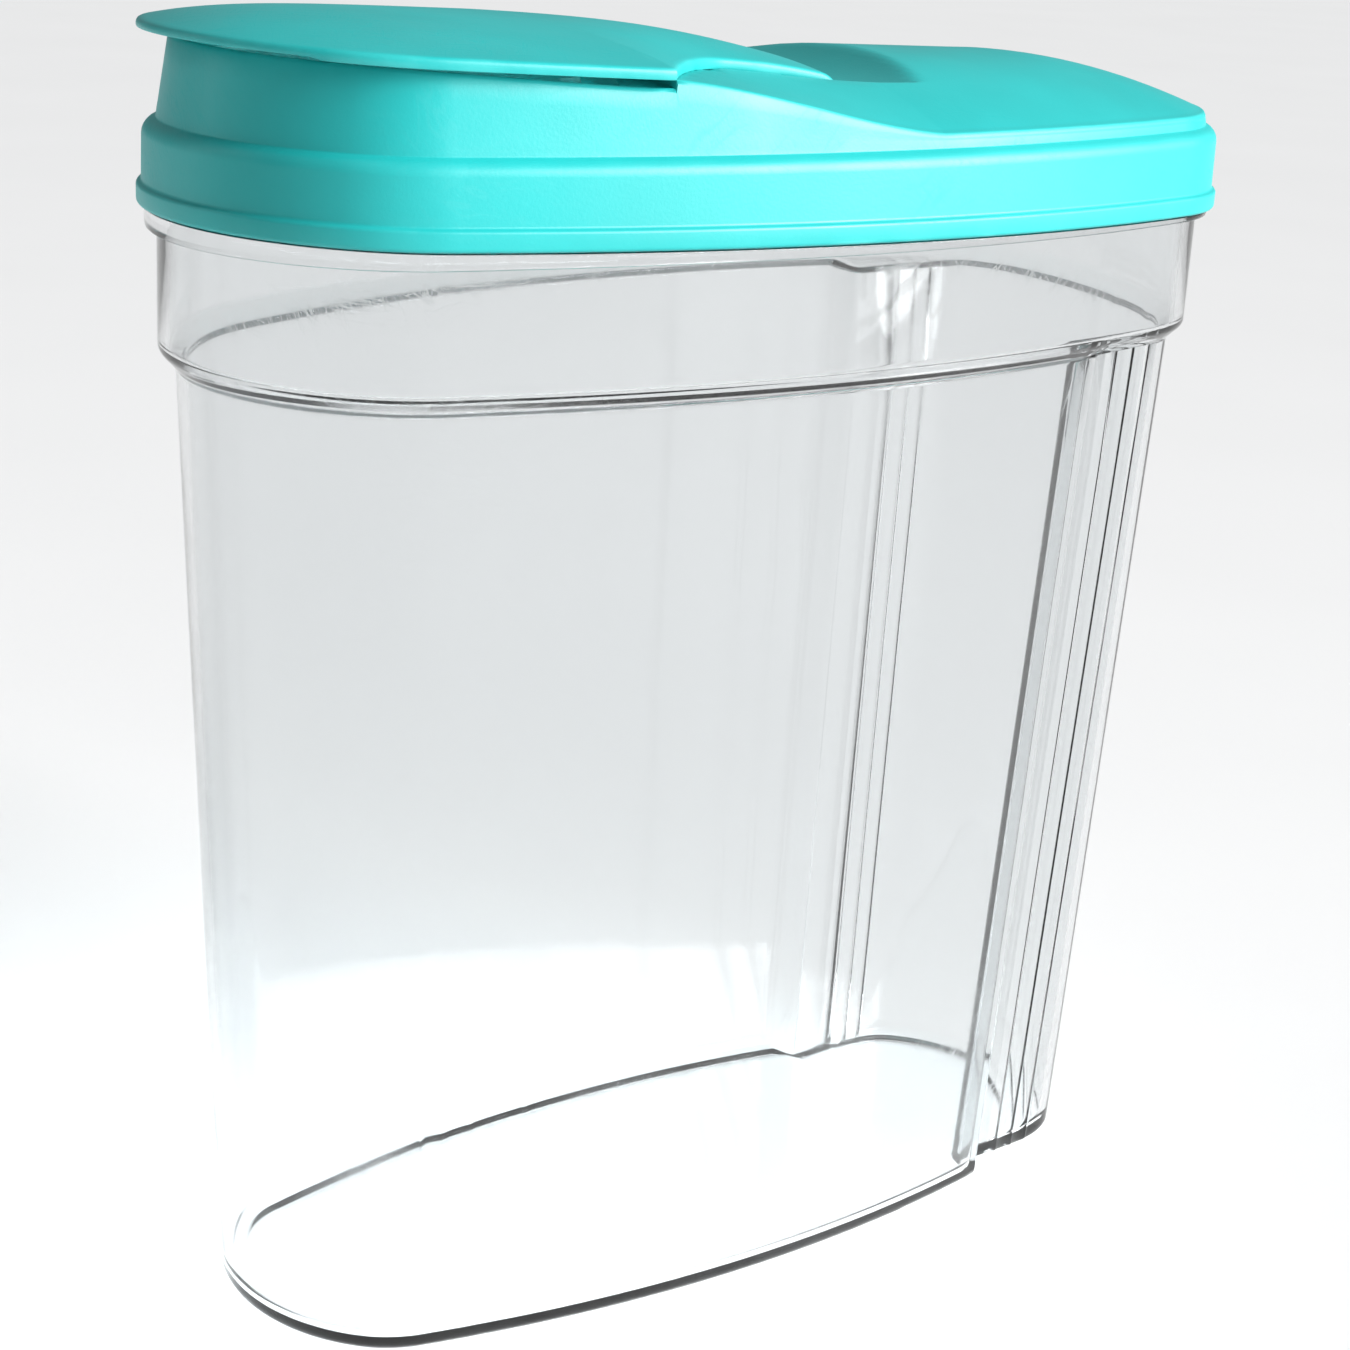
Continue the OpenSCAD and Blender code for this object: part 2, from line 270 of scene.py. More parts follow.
def mirrored_object(name, points, faces, material):
    """An object from the half at +Y and its mirror image, welded along y = 0."""
    mesh = bpy.data.meshes.new(name)
    both = np.vstack([points, points * [1, -1, 1]]) * MM
    other = faces[:, ::-1] + len(points)
    mesh.from_pydata(both.tolist(), [], np.vstack([faces, other]).tolist())
    work = bmesh.new()
    work.from_mesh(mesh)
    bmesh.ops.remove_doubles(work, verts=work.verts, dist=1e-6)
    bmesh.ops.dissolve_degenerate(work, edges=work.edges, dist=1e-6)
    bmesh.ops.recalc_face_normals(work, faces=work.faces)
    work.to_mesh(mesh)
    work.free()
    mesh.shade_smooth()
    mesh.set_sharp_from_angle(angle=SHARP_ANGLE)
    piece = bpy.data.objects.new(name, mesh)
    bpy.context.scene.collection.objects.link(piece)
    mesh.materials.append(material)
    return piece


# ---------- materials ----------
class Shader:
    """A node material with short calls for the patterns that drive it."""

    def __init__(self, name):
        self.material = bpy.data.materials.new(name)
        self.material.use_nodes = True
        self.tree = self.material.node_tree
        self.surface = self.tree.nodes["Principled BSDF"]
        self.place = self.tree.nodes.new("ShaderNodeTexCoord").outputs["Object"]

    def add(self, kind, **inputs):
        node = self.tree.nodes.new(kind)
        for key, value in inputs.items():
            socket = node.inputs[key.replace("_", " ")]
            if isinstance(value, bpy.types.NodeSocket):
                self.tree.links.new(value, socket)
            else:
                socket.default_value = value
        return node

    def noise(self, scale, detail=3.0, stretch=(1, 1, 1)):
        """Smooth random values around 0.5, with scale features to a metre."""
        mapped = self.add("ShaderNodeMapping", Vector=self.place, Scale=stretch)
        node = self.add("ShaderNodeTexNoise", Vector=mapped.outputs["Vector"], Scale=scale, Detail=detail)
        return node.outputs["Fac"]

    def ramp(self, value, low, high, out_low, out_high):
        """The value, stretched from low..high to out_low..out_high."""
        node = self.add("ShaderNodeMapRange", Value=value)
        for key, number in (("From Min", low), ("From Max", high), ("To Min", out_low), ("To Max", out_high)):
            node.inputs[key].default_value = number
        return node.outputs["Result"]

    def math(self, operation, a, b):
        node = self.tree.nodes.new("ShaderNodeMath")
        node.operation = operation
        for socket, value in zip(node.inputs, (a, b)):
            if isinstance(value, bpy.types.NodeSocket):
                self.tree.links.new(value, socket)
            else:
                socket.default_value = value
        return node.outputs["Value"]

    def blend(self, share, first, second):
        node = self.tree.nodes.new("ShaderNodeMix")
        node.data_type = "RGBA"
        self.tree.links.new(share, node.inputs["Factor"])
        for socket, value in ((node.inputs[6], first), (node.inputs[7], second)):
            if isinstance(value, bpy.types.NodeSocket):
                self.tree.links.new(value, socket)
            else:
                socket.default_value = (*value, 1)
        return node.outputs[2]

    def bump(self, height, strength, distance, under=None):
        node = self.add("ShaderNodeBump", Height=height, Strength=strength, Distance=distance)
        if under is not None:
            self.tree.links.new(under, node.inputs["Normal"])
        return node.outputs["Normal"]

    def scratches(self, amount):
        """Fine hairlines in three directions: 1 on a hairline, 0 elsewhere."""
        total = 0.0
        for turn, scale in ((0.35, 26), (1.5, 32), (2.5, 22)):
            mapped = self.add("ShaderNodeMapping", Vector=self.place, Rotation=(turn, turn * 1.7, turn * 0.6))
            stretched = self.add("ShaderNodeMapping", Vector=mapped.outputs["Vector"], Scale=(1, 22, 1.6))
            wisp = self.add("ShaderNodeTexNoise", Vector=stretched.outputs["Vector"], Scale=scale, Detail=2.0)
            line = self.ramp(wisp.outputs["Fac"], 0.5 - amount, 0.5 + amount, -1, 1)
            edge = self.math("SUBTRACT", 1.0, self.math("ABSOLUTE", line, 0))
            total = self.math("MAXIMUM", total, edge)
        patch = self.ramp(self.noise(14), 0.5, 0.62, 0, 1)
        return self.math("MULTIPLY", total, patch)

    def edge_wear(self, low, high):
        """1 on the outward edges, 0 on flat ground."""
        sharpness = self.tree.nodes.new("ShaderNodeNewGeometry").outputs["Pointiness"]
        return self.ramp(sharpness, low, high, 0, 1)

    def pass_lamps(self, tint):
        """Light from the lamps goes straight through, tinted, as it does through thin clear walls."""
        is_shadow = self.tree.nodes.new("ShaderNodeLightPath").outputs["Is Shadow Ray"]
        through = self.add("ShaderNodeBsdfTransparent", Color=(*tint, 1)).outputs["BSDF"]
        either = self.tree.nodes.new("ShaderNodeMixShader")
        output = self.tree.nodes["Material Output"].inputs["Surface"]
        sources = (is_shadow, self.surface.outputs["BSDF"], through)
        for socket, source in zip(either.inputs, sources):
            self.tree.links.new(source, socket)
        self.tree.links.new(either.outputs["Shader"], output)

    def set(self, **values):
        for key, value in values.items():
            socket = self.surface.inputs[key.replace("_", " ")]
            if isinstance(value, bpy.types.NodeSocket):
                self.tree.links.new(value, socket)
            else:
                socket.default_value = value


def teal_plastic():
    """Moulded polypropylene: satin, with a fine grain, faint mottling and rubbed edges."""
    shader = Shader("teal_plastic")
    mottle = shader.ramp(shader.noise(22, 4), 0.35, 0.65, 0, 1)
    body = shader.blend(mottle, (0.010, 0.385, 0.38), (0.014, 0.43, 0.425))
    edges = shader.edge_wear(0.51, 0.56)
    broken = shader.ramp(shader.noise(90), 0.4, 0.7, 0, 0.5)
    worn = shader.math("MULTIPLY", edges, broken)
    colour = shader.blend(worn, body, (0.09, 0.60, 0.58))
    grain = shader.noise(1500, 2)
    hairlines = shader.scratches(0.012)
    smear = shader.ramp(shader.noise(35, 5), 0.3, 0.7, 0.36, 0.47)
    rough = shader.math("ADD", smear, shader.math("MULTIPLY", hairlines, 0.12))
    flow = shader.bump(shader.noise(28, 2), 0.25, 0.0006)
    normal = shader.bump(grain, 0.35, 0.00006, flow)
    shader.set(Base_Color=colour, Roughness=rough, Normal=normal, IOR=1.49)
    return shader.material


def clear_plastic():
    """Clear moulded plastic: faintly grey, a little wavy, with hairlines and rubbed patches."""
    shader = Shader("clear_plastic")
    haze = shader.ramp(shader.noise(16, 2), 0.42, 0.72, 0.0, 0.07)
    rubbed = shader.math("MULTIPLY", shader.scratches(0.01), 0.18)
    rough = shader.math("ADD", haze, rubbed)
    normal = shader.bump(shader.noise(20, 1), 0.12, 0.0012)
    shader.set(Base_Color=(0.87, 0.885, 0.89, 1), Roughness=rough, Normal=normal, IOR=1.5)
    shader.set(Transmission_Weight=1.0)
    shader.pass_lamps((0.9, 0.915, 0.92))
    return shader.material


def floor_paint():
    shader = Shader("floor_paint")
    tone = shader.blend(shader.noise(5, 2), (0.79, 0.79, 0.79), (0.82, 0.82, 0.82))
    shader.set(Base_Color=tone, Roughness=0.75)
    return shader.material


# ---------- canister ----------
def share_up(z):
    return clamp01(z / BODY_TOP)


def body_inset(z):
    return mix(BASE_IN, BODY_IN, share_up(z))


def soft_min(a, b):
    return np.minimum(a, b) - np.maximum(0, FACE_BLEND - np.abs(a - b)) ** 2 / (4 * FACE_BLEND)


def canister_ring(inset, z, inward, grip):
    """A level of the body; grip goes from 0 to 1 as the two sides are cut flat for the hand."""
    length_scale = 1 - END_DRAFT * (1 - share_up(z))
    front = mix(GRIP_X_BASE, GRIP_X_TOP, share_up(z)) / length_scale - inward
    step = [front * np.linspace(0, 1, 22), front + GRIP_STEP * np.linspace(0, 1, 9)[1:]]
    ribs = [front + GRIP_STEP + x + RIB_W * np.linspace(-1, 1, 5) for x in RIB_X]
    ring = half_ring(inset + inward, np.concatenate(step + ribs))
    face = mix(GRIP_HALF_BASE, GRIP_HALF_TOP, share_up(z)) - inward
    cut = soft_min(ring[:, 1], face)
    if inward == 0:
        cut += rib_height(ring[:, 0] - front - GRIP_STEP, ring[:, 1] - face)
    ring[:, 1] = mix(ring[:, 1], cut, grip * ease((ring[:, 0] - front) / GRIP_STEP))
    ring[:, 0] *= length_scale
    return at_height(ring, z)


def rib_height(x, depth):
    """Three fine upright ribs on each grip face, where the face is cut well into the side."""
    ribs = sum(ease(1 - np.abs(x - rib_x) / RIB_W) for rib_x in RIB_X)
    return RIB_H * ribs * ease(depth / 2)


def bead_fall(x):
    """Height of the bead and its flange above BEAD_Z: they fall a little towards the grip end."""
    return mix(BEAD_FALL_POUR, BEAD_FALL_GRIP, (x + HALF_L) / (2 * HALF_L))


def canister_wall(profile, inward, grip_top):
    """Levels along a profile, with the flat grip faces ending just above grip_top."""
    return [canister_ring(inset, z, inward, 1 - ease((z - grip_top) / BLEND_H)) for inset, z in profile]


def flange():
    """The clear rim under the bead, taller towards the pour end, from its lower edge to its widest line."""
    levels = []
    for out, up in FLANGE_STEPS:
        ring = canister_ring(COLLAR_IN - out, BEAD_Z, 0, 0)
        share = np.sqrt(clamp01((ring[:, 0] + HALF_L) / (2 * HALF_L)))
        ring[:, 2] += up - mix(FLANGE_POUR_H, FLANGE_GRIP_H, share) + bead_fall(ring[:, 0])
        levels.append(ring)
    return levels


def towards_middle(ring, shares):
    """Copies of a flat ring drawn in towards the long axis."""
    spine = np.column_stack([np.clip(ring[:, 0], -SPINE_X, SPINE_X), 0 * ring[:, 1], ring[:, 2]])
    return [mix(spine, ring, t) for t in shares]


def distance_inside(ring, edge):
    return np.linalg.norm(ring[:, :2] - edge[:, :2], axis=1)


def canister(material):
    climb = [(body_inset(z), z, 0.5) for z in (30, 60, 90, 120, 150, 180)]
    lower = rounded([
        (BASE_IN + 6, 0, 0),
        (BASE_IN, 0, 3.2),
        *climb,
        (BODY_IN, BODY_TOP + 0.6, 1.6),
        (COLLAR_IN, LEDGE_Z - 0.6, 2.2),
        (COLLAR_IN, BEAD_Z - 8, 0),
    ])
    upper = rounded([
        (COLLAR_IN - FLANGE_L, BEAD_Z - 0.75, 0),
        (COLLAR_IN - FLANGE_L, BEAD_Z - 0.45, 0.12),
        (COLLAR_IN, BEAD_Z - 0.4, 0.15),
        (COLLAR_IN, RIM_Z, 0.8),
        (COLLAR_IN + 1, RIM_Z, 0),
    ])
    inner = rounded([
        (COLLAR_IN - 1, RIM_Z, 0),
        (COLLAR_IN, RIM_Z, 0.6),
        (COLLAR_IN, LEDGE_Z + 0.2, 2.2),
        (BODY_IN, BODY_TOP + 2.4, 1.6),
        *reversed(climb),
        (BASE_IN, FLOOR, 4),
        (BASE_IN + 6, FLOOR, 0),
    ])
    neck = canister_wall(upper, 0, BODY_TOP)
    for ring in neck:
        ring[:, 2] += bead_fall(ring[:, 0]) * ease((RIM_Z - ring[:, 2]) / (RIM_Z - BEAD_Z))
    outside = canister_wall(lower[1:], 0, BODY_TOP) + flange() + neck
    inside = canister_wall(inner[1:-1], WALL, BODY_TOP + 1.8)
    under = towards_middle(outside[0], np.linspace(0, 0.96, 14))
    for ring in under:
        ring[:, 2] += PUSH_UP * ease(distance_inside(ring, outside[0]) / 4)
    floor = towards_middle(inside[-1], np.linspace(0.96, 0, 8))
    rings = under + outside + inside + floor
    faces = grid_faces(len(rings), len(rings[0])).reshape(-1, 4)
    return mirrored_object("canister_body", np.vstack(rings), faces, material)


# ---------- shared heights of lid and flap ----------
def tongue_at(x):
    return clamp01((x - NOTCH_X) / (HINGE_X + 1.5 - NOTCH_X))


def flap_edge_z(x):
    front = mix(TIP_Z, NOTCH_Z, clamp01((x - FLAP_LOW[0]) / (NOTCH_X - FLAP_LOW[0])))
    tongue_end = HINGE_Z + ROLL_SIDE_R * math.sin(math.radians(ROLL_FROM))
    tongue = mix(NOTCH_Z, tongue_end, tongue_at(x) ** 2.6)
    return np.where(x < NOTCH_X, front, tongue)


def crown_at(x):
    front = FLAP_CROWN * (1 - clamp01((NOTCH_X - x) / (NOTCH_X - FLAP_LOW[0])) ** 5)
    tongue = mix(FLAP_CROWN, (ROLL_R - ROLL_SIDE_R) * math.sin(math.radians(ROLL_FROM)), tongue_at(x) ** 1.2)
    return np.where(x < NOTCH_X, front, tongue)


def flap_half(x):
    """Half the width of the neck and the tongue."""
    return mix(ROLL_W, side_y(NOTCH_X, FLAP_IN), (1 - clamp01((x - NOTCH_X) / NECK_L)) ** 1.6)


def flap_under(x, y):
    """Height of the tongue's underside."""
    half = flap_half(x)
    return flap_edge_z(x) + crown_at(x) * (1 - np.square(y / half)) - FLAP_T


# ---------- lid ----------
def seam_gap(x):
    """The gap under the flap's rim, wider towards the notch."""
    return mix(SEAM_NARROW, SEAM_WIDE, ease((x - SEAM_START) / SEAM_L))


def deck_edge_z(x):
    """The upper wall's top edge: under the flap's rim, then falling beside the tongue."""
    s = (x - NOTCH_X - 3) / DECK_FALL_L
    rim = flap_edge_z(x) - FLAP_T - seam_gap(x)
    deck = mix(DECK_HIGH_Z + 0.3, DECK_LOW_Z, (clamp01(s) + ease(s)) / 2)
    return mix(rim, deck, ease((x - STEP_X) / STEP_W))


def spine_z(x):
    return CROWN_Z - SPINE_SLOPE * (x - HINGE_X)


def wall_inset(z):
    return COLLAR_IN + WALL_LEAN * (z - GROOVE_Z)


def lid_lines():
    """x of the lid's cross lines: close together about the notch and the edges of the rolled end's pocket."""
    notch = [-STEP_X, -STEP_X - 0.15, -STEP_X - 0.3, -STEP_X - STEP_W]
    pocket = [
        abs(HINGE_X + way)
        for r in (POCKET_R, POCKET_R + SKIN)
        for way in (-r, r + POCKET_BACKS[-1])
    ]
    fine = [*notch, *[round(edge + aside, 2) for edge in pocket for aside in (-0.3, -0.1, -0.02, 0.1)]]
    steps = [*np.arange(0, 46, 1.5), *np.arange(48, 60, 3), -OPEN_X, *np.arange(63, SPINE_X + 1, 3)]
    return np.array(sorted(set(fine + [float(v) for v in steps])))


# Distance outside the recess's side, and the weight of the deck there
RECESS_EDGE = ((0.9, 1.0), (0.45, 0.995), (0.15, 0.95), (0.02, 0.8), (-0.03, 0.14), (-0.2, 0.03), (-0.6, 0.0))


def deck_rows(edge, rim_ring, recess_half):
    """Rows from the opening's rim to the spine: plan points, the deck's weight and how far they are lowered.

    Beside the recess they run along its edge, and the weight falls from 1 to 0 across it. None is lowered.
    """
    spine = np.column_stack([np.clip(edge[:, 0], -SPINE_X, SPINE_X), 0 * edge[:, 1]])
    width = side_y(np.minimum(np.abs(edge[:, 0]), SPINE_X), OPEN_IN)
    rows = []
    for s in np.linspace(0, 1, 7)[1:-1]:
        rows.append((mix(width, recess_half + 1, s), 1.0))
    for offset, weight in RECESS_EDGE:
        rows.append((np.full(len(width), recess_half + offset), weight))
    for s in np.linspace(1, 0, 12)[1:]:
        rows.append(((recess_half - 0.6) * s + 0 * width, 0.0))
    return [(mix(spine, rim_ring, (reach / width)[:, None]), weight, 0.0) for reach, weight in rows], spine


def lid_height(plan, edge, spine, weight, recess_grow, drop):
    """Height of the deck, less drop, and of the recess that is cut into it."""
    x, y = plan[:, 0], np.abs(plan[:, 1])
    reach = np.linalg.norm(plan - spine, axis=1) / np.linalg.norm(edge - spine, axis=1)
    dome = mix(spine_z(spine[:, 0]), deck_edge_z(edge[:, 0]), reach**2)
    beside = np.maximum(0, y - flap_half(x) - 0.2)
    under_tongue = flap_under(x, np.minimum(y, flap_half(x))) - TONGUE_GAP + TONGUE_BANK * beside
    has_tongue = (x > NOTCH_X) & (x < HINGE_X + 1)
    deck = np.where(has_tongue, np.minimum(dome, under_tongue), dome) - drop
    scoop_r = SCOOP_R + recess_grow
    scoop = SCOOP_Z + SCOOP_R - np.sqrt(np.maximum(0, scoop_r**2 - np.square(x - HINGE_X - SCOOP_FROM_HINGE)))
    scoop = np.where(x < HINGE_X - POCKET_R - recess_grow, np.inf, scoop)
    floor = np.minimum(deck, scoop)
    pocket_r = POCKET_R + recess_grow
    for back in POCKET_BACKS:
        from_axis = x - HINGE_X - back
        pocket = HINGE_Z + back / 4 - np.sqrt(np.maximum(0, pocket_r**2 - from_axis**2))
        floor = np.where(np.abs(from_axis) < pocket_r, np.minimum(floor, pocket), floor)
    return mix(floor, deck, weight)


def lid_skin(lines, extra_inset, recess_grow, drop):
    """Rows of one surface of the deck, from its edge over the channel round the opening to the spine."""
    base = half_ring(wall_inset(DECK_LOW_Z), lines)
    edge_in = wall_inset(deck_edge_z(base[:, 0])) + 0.9 + extra_inset
    edge = half_ring(edge_in, lines)
    rim_in = OPEN_IN + 0.35 * extra_inset
    front = ease((STEP_X - base[:, 0]) / STEP_W)
    shelf = [(half_ring(mix(edge_in, rim_in, s), lines), 1.0, depth * front) for s, depth in CHANNEL]
    inner, spine = deck_rows(edge, shelf[-1][0], RECESS_W + recess_grow)
    return [
        at_height(plan, lid_height(plan, edge, spine, weight, recess_grow, drop) - lower)
        for plan, weight, lower in shelf + inner
    ]


def skirt_ring(inset, z, lines):
    """A level of the bead or the skirt: the bead follows its fall, the groove above it is level."""
    ring = at_height(half_ring(inset, lines), z)
    ring[:, 2] += bead_fall(ring[:, 0]) * ease((GROOVE_Z - z) / (GROOVE_Z - BEAD_Z - BEAD_H))
    return ring


def lid(material):
    lines = lid_lines()
    columns = len(half_ring(0, lines))
    x = half_ring(wall_inset(DECK_LOW_Z), lines)[:, 0]
    crease = deck_edge_z(x)
    skirt = rounded([
        (6.3, RIM_Z, 0),
        (3.1, RIM_Z, 0.3),
        (3.0, BEAD_Z, 0.4),
        (0, BEAD_Z, 0.9),
        (0, BEAD_Z + BEAD_H, 0.8),
        (1.0, BEAD_Z + BEAD_H + 0.5, 0.7),
        (1.15, GROOVE_Z - 1.2, 3.4),
        (COLLAR_IN, GROOVE_Z + 0.1, 0.45),
        (COLLAR_IN + 0.2, GROOVE_Z + 1.5, 0),
    ])
    plug = rounded([
        (8.6, GROOVE_Z + 2.4, 0),
        (8.1, GROOVE_Z - 0.5, 1.2),
        (7.9, BEAD_Z + 4, 0.6),
        (6.6, BEAD_Z + 4, 0.5),
        (6.3, RIM_Z, 0.2),
        (3.1, RIM_Z, 0),
    ])
    under = lid_skin(lines, SKIN - 0.4, SKIN, SKIN)
    outside = lid_skin(lines, 0, 0, 0)
    wall = []
    for s in (0.12, 0.4, 0.7, 1):
        z = mix(GROOVE_Z + 1.5, crease - 0.9, s)
        wall.append(at_height(half_ring(wall_inset(z), lines), z))
    for inward, down in ((0.05, 0.6), (0.2, 0.3), (0.48, 0.09)):
        wall.append(at_height(half_ring(wall_inset(crease) + inward, lines), crease - down))
    rings = (
        under[::-1]
        + [at_height(half_ring(i, lines), z) for i, z in plug[:-1]]
        + [skirt_ring(i, z, lines) for i, z in skirt[1:]]
        + wall
        + outside
    )
    faces = grid_faces(len(rings), columns)
    rim_row = len(rings) - len(outside) + len(CHANNEL) - 1
    opening = np.zeros(faces.shape[:2], bool)
    ring_x = half_ring(OPEN_IN, lines)[:, 0]
    in_front = (ring_x[:-1] + ring_x[1:]) / 2 < OPEN_X
    opening[rim_row:, in_front] = True
    opening[:len(under) - len(CHANNEL), in_front] = True
    shell = faces[~opening]
    walls = opening_walls(len(rings), columns, rim_row, int(in_front.sum()))
    return mirrored_object("lid_shell", np.vstack(rings), np.vstack([shell, walls]), material)


def opening_walls(rows, columns, rim_row, last_column):
    """Quads that join the two surfaces of the deck round the pour opening."""
    def top(row, column):
        return row * columns + column

    def under(row, column):
        return (rows - 1 - row) * columns + column

    walls = []
    for c in range(last_column):
        walls.append([top(rim_row, c), top(rim_row, c + 1), under(rim_row, c + 1), under(rim_row, c)])
    for r in range(rim_row, rows - 1):
        c = last_column
        walls.append([top(r, c), top(r + 1, c), under(r + 1, c), under(r, c)])
    return np.array(walls)


# ---------- flap ----------
def front_half_width(x):
    """Half the width of the flap's rim ahead of the notch."""
    x = np.abs(x) / (-FLAP_LOW[0] / (HALF_L - FLAP_IN))
    side = side_y(np.minimum(x, side_end(FLAP_IN)), FLAP_IN)
    corner_x = np.clip(x - CORNER_C[0], 0, CORNER_R - FLAP_IN)
    corner = CORNER_C[1] + np.sqrt((CORNER_R - FLAP_IN) ** 2 - corner_x**2)
    end_x = np.clip(x - END_C[0], 0, END_R - FLAP_IN)
    end = np.sqrt((END_R - FLAP_IN) ** 2 - end_x**2)
    corner_stop = END_C[0] + (END_R - FLAP_IN) * math.cos(CORNER_TO)
    return np.select([x < side_end(FLAP_IN), x < corner_stop], [side, corner], end)


TIP_REACH = 44
ROLL_REACH = 14
RIM_IN = 1.8
END_CORNER_R = 1.2
ROLL_PER_DEGREE = ROLL_R * math.pi / 180
ROLL_START = HINGE_X + ROLL_R * math.cos(math.radians(ROLL_FROM))
ROLL_END = ROLL_START + (ROLL_FROM - ROLL_TO) * ROLL_PER_DEGREE


def flap_point(u, y, depth):
    """A point of the flap: u runs back from the tip and round the rolled end, depth goes into the plate."""
    roll = mix(ROLL_R, ROLL_SIDE_R, np.square(y / ROLL_W))
    start_x = HINGE_X + roll * math.cos(math.radians(ROLL_FROM))
    x = u - (ROLL_START - start_x) * ease((u - ROLL_START + ROLL_REACH) / ROLL_REACH)
    half = np.where(x < NOTCH_X, front_half_width(x), flap_half(x))
    share = np.minimum(np.abs(y) / np.maximum(half, 1e-3), 1)
    plate = flap_edge_z(x) + crown_at(x) * (1 - share**2) - depth
    angle = np.radians(ROLL_FROM - (u - ROLL_START) / ROLL_PER_DEGREE)
    rolled = u > ROLL_START
    return np.column_stack([
        np.where(rolled, HINGE_X + (roll - depth) * np.cos(angle), x),
        y,
        np.where(rolled, HINGE_Z + (roll - depth) * np.sin(angle), plate),
    ])


def flap_outline():
    """Half the edge of the unrolled flap at +Y, from the tip to the middle of the rolled end."""
    side_lines = np.arange(-NOTCH_X, SPINE_X + 4, 2)
    stretch = -FLAP_LOW[0] / (HALF_L - FLAP_IN)
    front = quarter(FLAP_IN, side_lines)[::-1] * [-stretch, 1]
    front = front[front[:, 0] < NOTCH_X - 0.5]
    neck_x = NOTCH_X + NECK_L * np.linspace(0, 1, 22) ** 1.3
    neck = np.column_stack([neck_x, flap_half(neck_x)])
    flat_x = np.arange(NOTCH_X + NECK_L + 2, ROLL_START, 2)
    rolled_x = np.arange(ROLL_START, ROLL_END - 2, 1)
    tongue_x = np.concatenate([flat_x, rolled_x])
    tongue = np.column_stack([tongue_x, np.full(len(tongue_x), ROLL_W)])
    turn = np.radians(np.linspace(90, 0, 6))
    corner = arc((ROLL_END - END_CORNER_R, ROLL_W - END_CORNER_R), END_CORNER_R, turn)
    end_y = np.linspace(ROLL_W - END_CORNER_R, 0, 18)[1:]
    end = np.column_stack([np.full(len(end_y), ROLL_END), end_y])
    return np.vstack([front, neck, tongue, corner, end])


def inward_normals(path):
    """Unit vectors into the shape, square to the path at its ends on y = 0."""
    closed = np.vstack([path[1] * [1, -1], path, path[-2] * [1, -1]])
    run = np.diff(closed, axis=0)
    run /= np.linalg.norm(run, axis=1)[:, None]
    normals = np.column_stack([run[:, 1], -run[:, 0]])
    joint = normals[:-1] + normals[1:]
    joint /= np.linalg.norm(joint, axis=1)[:, None]
    return joint / np.sum(joint * normals[1:], axis=1)[:, None]


# Inset from the flap's edge, depth, and the share of the thickness to add to the depth
RIM_PROFILE = ((1.4, 0, 1), (0.4, 0, 1), (0.12, -0.12, 1), (0, -0.4, 1), (0, 0.8, 0), (0.1, 0.42, 0),
               (0.36, 0.12, 0), (0.8, 0, 0), (1.6, 0, 0))


def flap_thickness(u):
    """The pour lip is thinner than the rest."""
    return FLAP_T - LIP_THINNER * (1 - ease((u - LIP_END_X) / LIP_STEP_L))


def flap(material):
    outline = flap_outline()
    normals = inward_normals(outline)
    inner = outline + normals * RIM_IN
    spine_x = np.clip(inner[:, 0], FLAP_LOW[0] + TIP_REACH, ROLL_END - ROLL_REACH)
    spine = np.column_stack([spine_x, 0 * inner[:, 1]])
    shares = np.linspace(0, 1, 22)
    rows = []
    for t in shares:
        plan = mix(spine, inner, t)
        rows.append(flap_point(plan[:, 0], plan[:, 1], flap_thickness(plan[:, 0])))
    for inset, depth, below in RIM_PROFILE:
        plan = outline + normals * inset
        rows.append(flap_point(plan[:, 0], plan[:, 1], depth + below * flap_thickness(plan[:, 0])))
    for t in shares[::-1]:
        plan = mix(spine, inner, t)
        rows.append(flap_point(plan[:, 0], plan[:, 1], 0))
    faces = grid_faces(len(rows), len(outline)).reshape(-1, 4)
    return mirrored_object("flap_plate", np.vstack(rows), faces, material)


def hinge_pin(material):
    """The disc that closes each side of the rolled end, and the pin on it."""
    profile = rounded([
        (0, ROLL_W - 2, 0),
        (ROLL_SIDE_R - 1, ROLL_W - 2, 0.4),
        (ROLL_SIDE_R - 1, ROLL_W - 0.1, 0.5),
        (PIN_R, ROLL_W - 0.1, 0.4),
        (PIN_R, PIN_REACH, 0.5),
        (0, PIN_REACH, 0),
    ])
    turns = np.radians(np.linspace(0, 360, 49))
    rows = [
        np.column_stack([HINGE_X + r * np.cos(turns), np.full(len(turns), y), HINGE_Z + r * np.sin(turns)])
        for r, y in profile
    ]
    faces = grid_faces(len(rows), len(turns)).reshape(-1, 4)
    return mirrored_object("flap_pins", np.vstack(rows), faces, material)


# ---------- stage ----------
CAMERA_PLACE = Vector((-0.35123, -0.45957, 0.32087))
CAMERA_YAW = 0.647
CAMERA_PITCH = -0.3193
CAMERA_ROLL = 0.0568
CAMERA_LENS = 70.18
SENSOR_WIDTH = 36
SUN_AHEAD = (-0.85, 1, -0.55)
SUN_STRENGTH = 6.4
SUN_SPREAD = 40
SOFTBOX_POWER = 5
STRIP_POWER = 1.5
WORLD_STRENGTH = 0.27
FLOOR_R = 14


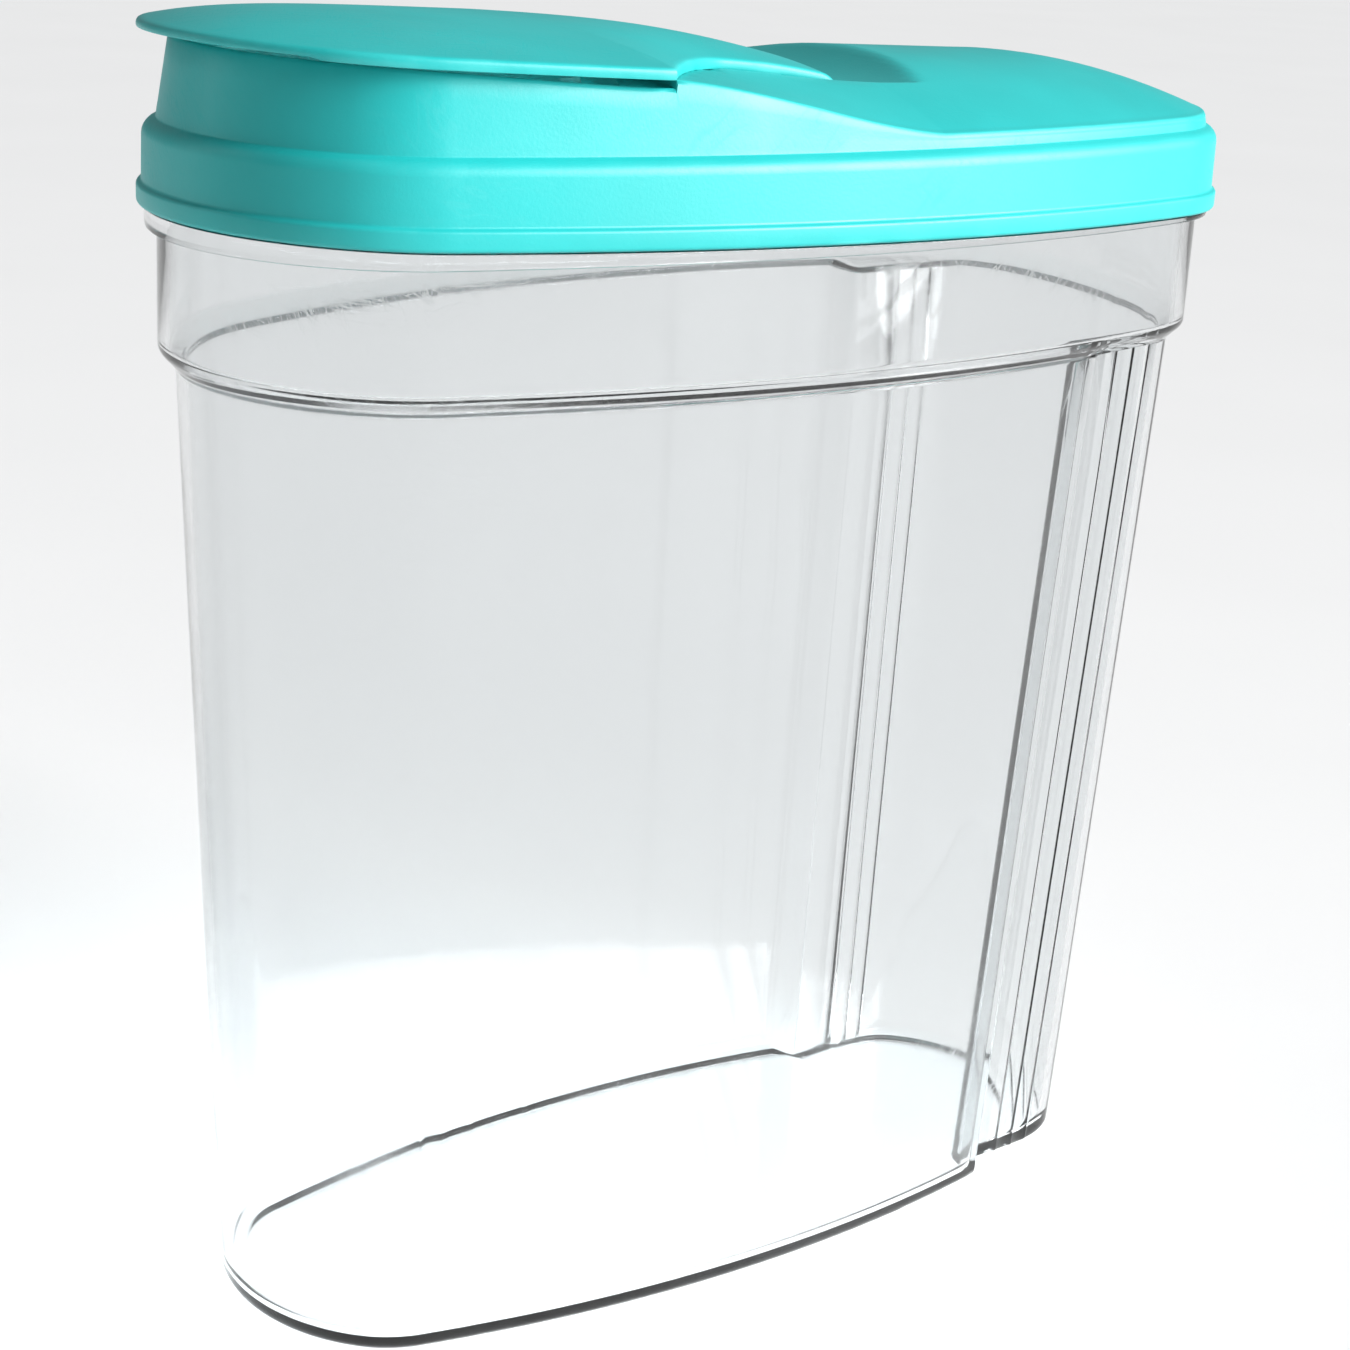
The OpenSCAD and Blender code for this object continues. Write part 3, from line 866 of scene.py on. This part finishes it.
def add_camera():
    """The camera looks along yaw from +Y towards +X, pitched down and rolled a little."""
    data = bpy.data.cameras.new("camera")
    data.lens = CAMERA_LENS
    data.sensor_width = SENSOR_WIDTH
    camera = bpy.data.objects.new("camera", data)
    ahead = Vector((
        math.sin(CAMERA_YAW) * math.cos(CAMERA_PITCH),
        math.cos(CAMERA_YAW) * math.cos(CAMERA_PITCH),
        math.sin(CAMERA_PITCH),
    ))
    right = Vector((math.cos(CAMERA_YAW), -math.sin(CAMERA_YAW), 0))
    up = right.cross(ahead)
    axis_x = right * math.cos(CAMERA_ROLL) + up * math.sin(CAMERA_ROLL)
    axis_y = up * math.cos(CAMERA_ROLL) - right * math.sin(CAMERA_ROLL)
    turn = Matrix((axis_x, axis_y, -ahead)).transposed().to_4x4()
    camera.matrix_world = Matrix.Translation(CAMERA_PLACE) @ turn
    bpy.context.scene.collection.objects.link(camera)
    bpy.context.scene.camera = camera


def add_light(name, place, target, size, power):
    data = bpy.data.lights.new(name, "AREA")
    data.shape = "RECTANGLE"
    data.size, data.size_y = size
    data.energy = power
    light = bpy.data.objects.new(name, data)
    light.location = place
    light.rotation_euler = (Vector(target) - Vector(place)).to_track_quat("-Z", "Y").to_euler()
    bpy.context.scene.collection.objects.link(light)


def add_sun(ahead, strength, spread):
    """Even soft light from the direction opposite to ahead."""
    data = bpy.data.lights.new("sun", "SUN")
    data.energy = strength
    data.angle = math.radians(spread)
    light = bpy.data.objects.new("sun", data)
    light.rotation_euler = Vector(ahead).to_track_quat("-Z", "Y").to_euler()
    bpy.context.scene.collection.objects.link(light)


def add_studio():
    middle = (0, 0, 0.15)
    add_sun(SUN_AHEAD, SUN_STRENGTH, SUN_SPREAD)
    add_light("softbox", (0.5, -1.1, 0.75), middle, (0.5, 0.9), SOFTBOX_POWER)
    add_light("edge_strip", (-1.1, 0.9, 0.7), middle, (0.25, 1.2), STRIP_POWER)
    world = bpy.data.worlds.new("studio")
    world.use_nodes = True
    background = world.node_tree.nodes["Background"]
    background.inputs["Color"].default_value = (0.96, 0.98, 1, 1)
    background.inputs["Strength"].default_value = WORLD_STRENGTH
    bpy.context.scene.world = world
    bpy.context.scene.view_settings.view_transform = "Standard"


def add_floor(material):
    """A wide disc of pale floor."""
    mesh = bpy.data.meshes.new("floor")
    work = bmesh.new()
    bmesh.ops.create_circle(work, cap_ends=True, segments=96, radius=FLOOR_R)
    work.to_mesh(mesh)
    work.free()
    mesh.materials.append(material)
    floor = bpy.data.objects.new("floor", mesh)
    bpy.context.scene.collection.objects.link(floor)


def place(piece, body, finish, *nodes):
    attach(piece, body)
    if nodes:
        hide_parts(*nodes)


clear = clear_plastic()
teal = teal_plastic()
place(canister(clear), "canister", "clear_plastic", "canister")
place(lid(teal), "lid", "teal_plastic", "lid")
place(flap(teal), "flap", "teal_plastic", "flap")
place(hinge_pin(teal), "flap", "teal_plastic")
add_floor(floor_paint())
add_studio()
add_camera()
